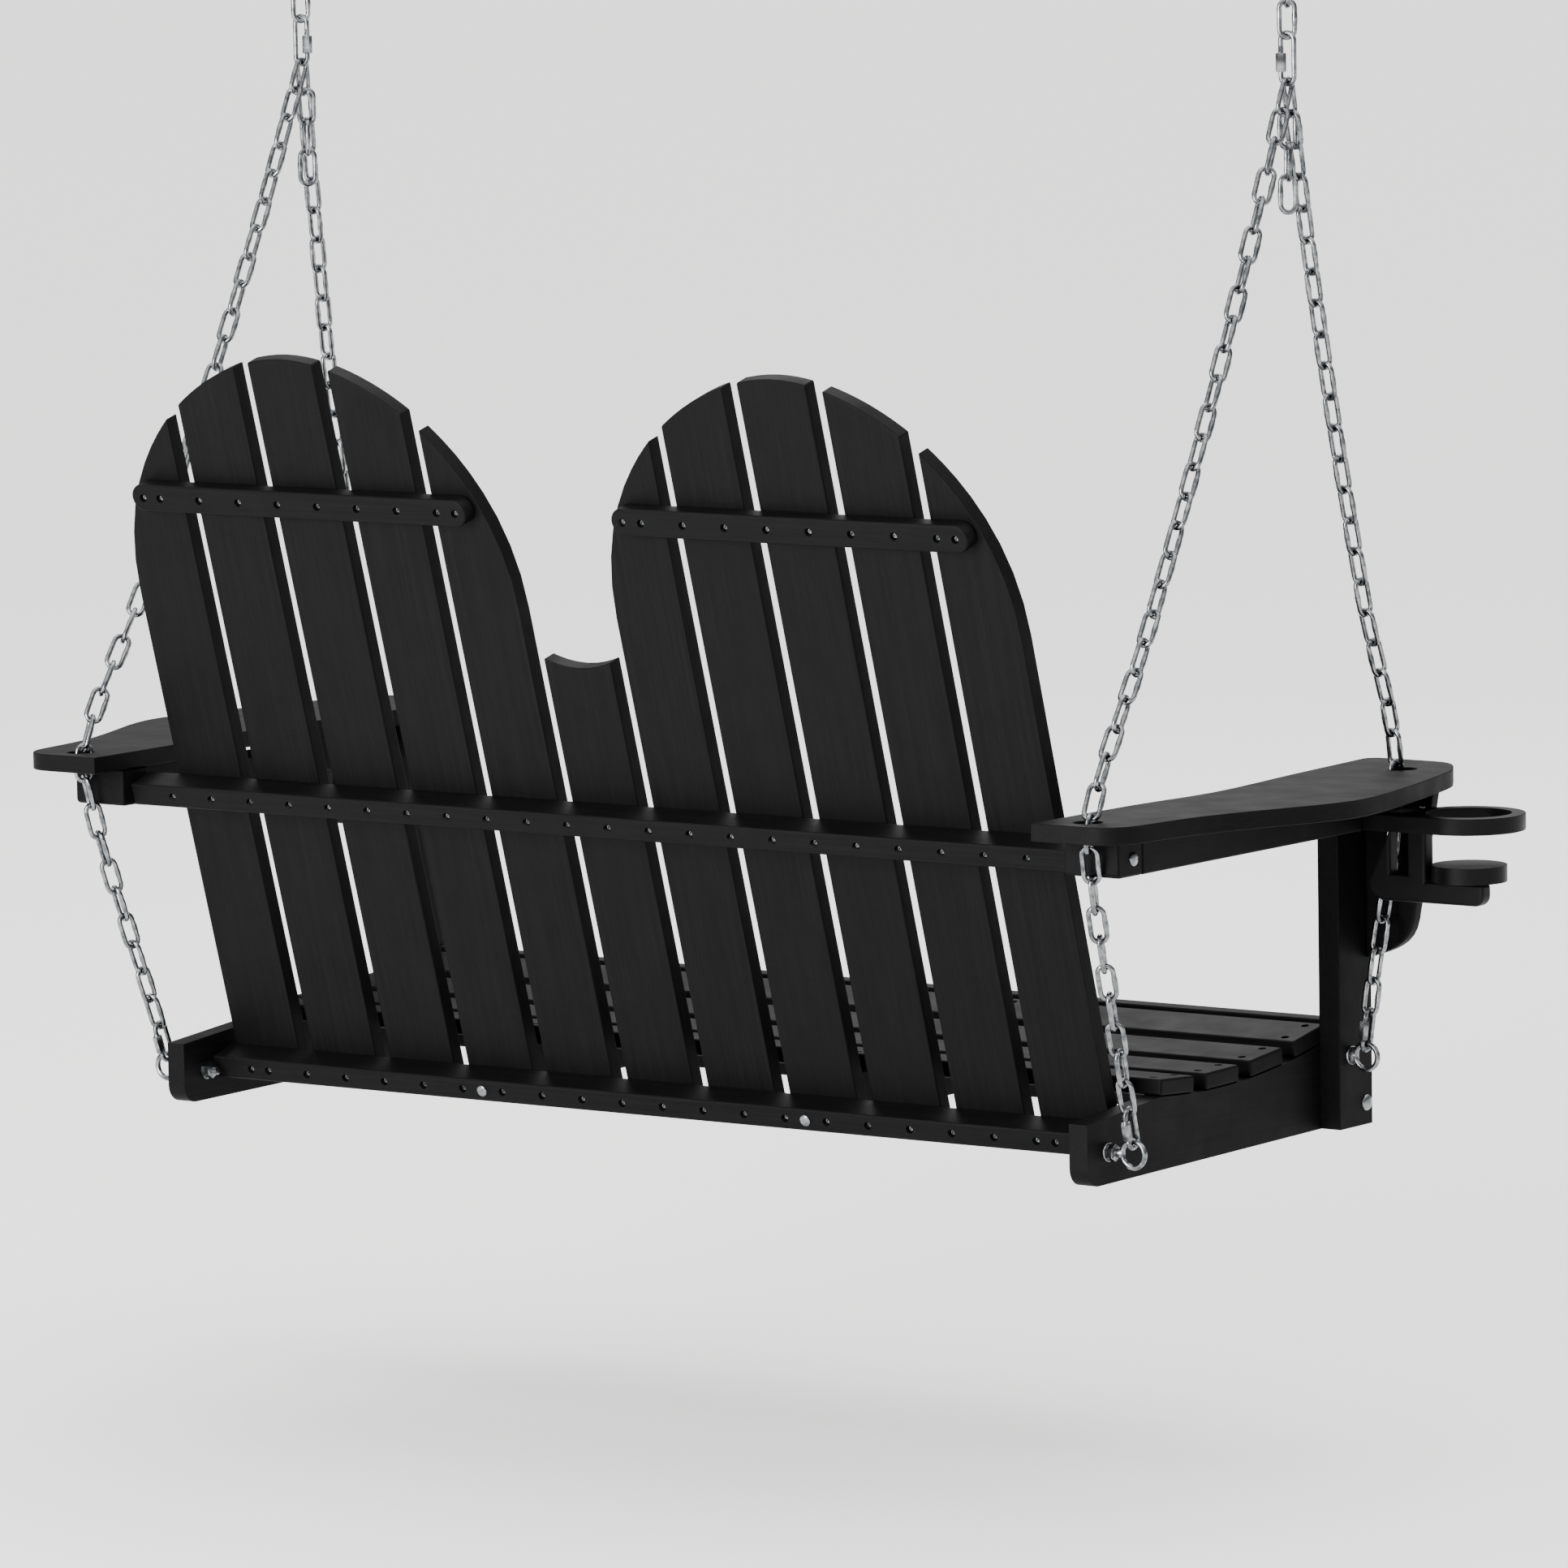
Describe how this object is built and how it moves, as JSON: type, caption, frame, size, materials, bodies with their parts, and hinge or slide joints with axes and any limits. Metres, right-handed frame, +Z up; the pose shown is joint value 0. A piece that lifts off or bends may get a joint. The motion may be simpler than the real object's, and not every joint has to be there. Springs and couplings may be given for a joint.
{
  "type": "porch swing",
  "caption": "Slatted two-seat bench with twin rounded back crowns, wide arms and side cup holders, hung on chain legs from ceiling eyes.",
  "frame": {"origin": "in the ceiling plane, midway between the two ceiling eyes", "axes": "+Z up; the sitter faces -Y; +X is the sitter's left; the part is its own mirror image in X"},
  "size_m": [1.7096, 0.6995, 1.294],
  "materials": {
    "poly_lumber": "near-black recycled polyethylene lumber, fine-grained and satin, with eased edges",
    "moulded_plastic": "near-black machined polyethylene sheet, satin",
    "plated_steel": "bright plated steel wire and forgings"
  },
  "bodies": {
    "hooks": {"ceiling_hook_left": "plated_steel", "ceiling_hook_right": "plated_steel"},
    "hangers": {"apex_link_left": "plated_steel", "apex_link_right": "plated_steel", "upper_chain_left": "plated_steel", "upper_chain_right": "plated_steel"},
    "sleeve_left": {"apex_sleeve_left": "plated_steel"},
    "sleeve_right": {"apex_sleeve_right": "plated_steel"},
    "seat": {"back_slat_1": "poly_lumber", "back_slat_2": "poly_lumber", "back_slat_3": "poly_lumber", "back_slat_4": "poly_lumber", "back_slat_5": "poly_lumber", "back_slat_6": "poly_lumber", "back_slat_7": "poly_lumber", "back_slat_8": "poly_lumber", "back_slat_9": "poly_lumber", "back_slat_10": "poly_lumber", "back_slat_11": "poly_lumber", "upper_brace_left": "poly_lumber", "upper_brace_right": "poly_lumber", "mid_rail": "poly_lumber", "bottom_rail": "poly_lumber", "seat_slat_1": "poly_lumber", "seat_slat_2": "poly_lumber", "seat_slat_3": "poly_lumber", "seat_slat_4": "poly_lumber", "side_board_left": "poly_lumber", "side_board_right": "poly_lumber", "seat_stringer_left": "poly_lumber", "seat_stringer_right": "poly_lumber", "front_valance": "poly_lumber", "front_post_left": "poly_lumber", "front_post_right": "poly_lumber", "arm_left": "poly_lumber", "arm_right": "poly_lumber", "arm_beam_left": "poly_lumber", "arm_beam_right": "poly_lumber", "rear_arm_block_left": "poly_lumber", "rear_arm_block_right": "poly_lumber", "corbel_left": "poly_lumber", "corbel_right": "poly_lumber", "cup_ring_left": "moulded_plastic", "cup_ring_right": "moulded_plastic", "cup_bracket_left": "moulded_plastic", "cup_bracket_right": "moulded_plastic", "cup_coaster_left": "moulded_plastic", "cup_coaster_right": "moulded_plastic", "eye_bolt_rear_left": "plated_steel", "eye_bolt_rear_right": "plated_steel", "eye_bolt_front_left": "plated_steel", "eye_bolt_front_right": "plated_steel", "quick_link_rear_left": "plated_steel", "quick_link_rear_right": "plated_steel", "quick_link_front_left": "plated_steel", "quick_link_front_right": "plated_steel", "chain_leg_rear_left": "plated_steel", "chain_leg_rear_right": "plated_steel", "chain_leg_front_left": "plated_steel", "chain_leg_front_right": "plated_steel"}
  },
  "joints": [
    {"name": "swing", "type": "hinge", "parent": "hooks", "child": "hangers", "pos_m": [0, 0, -0.041], "axis": [1, 0, 0], "range_deg": [-30, 30]},
    {"name": "seat_pitch", "type": "hinge", "parent": "hangers", "child": "seat", "pos_m": [0, 0, -0.157], "axis": [1, 0, 0], "range_deg": [-12, 12]},
    {"name": "sleeve_travel_left", "type": "slide", "parent": "hangers", "child": "sleeve_left", "axis": [0, 0, 1], "range_m": [0, 0.009]},
    {"name": "sleeve_travel_right", "type": "slide", "parent": "hangers", "child": "sleeve_right", "axis": [0, 0, 1], "range_m": [0, 0.009]}
  ]
}
